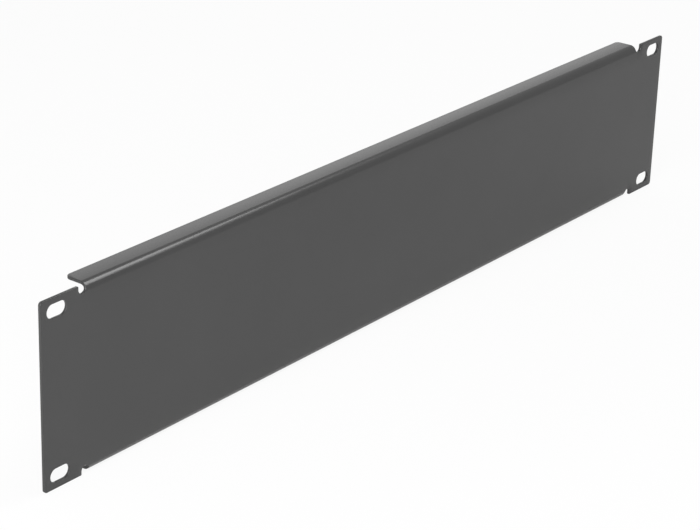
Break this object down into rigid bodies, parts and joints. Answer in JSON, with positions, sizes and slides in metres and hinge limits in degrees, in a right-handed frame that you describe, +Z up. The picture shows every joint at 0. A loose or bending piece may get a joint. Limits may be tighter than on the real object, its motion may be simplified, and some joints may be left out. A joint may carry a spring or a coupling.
{
  "type": "rack blanking panel",
  "caption": "Folded steel blanking panel that closes an unused space in a 19-inch rack, with slotted ears and flanges folded back along top and bottom.",
  "frame": {"origin": "centre of the four mounting slots, on the back of the ears, where they seat on the rack's rails", "axes": "+X across the rack along the panel's length, +Y into the rack, +Z up; the visible face looks along -Y"},
  "size_m": [0.4826, 0.0126, 0.0882],
  "materials": {
    "powder_coat": "dark grey powder coat, semi-matt, fine texture"
  },
  "bodies": {
    "root": {"blanking_panel": "powder_coat"}
  },
  "joints": []
}
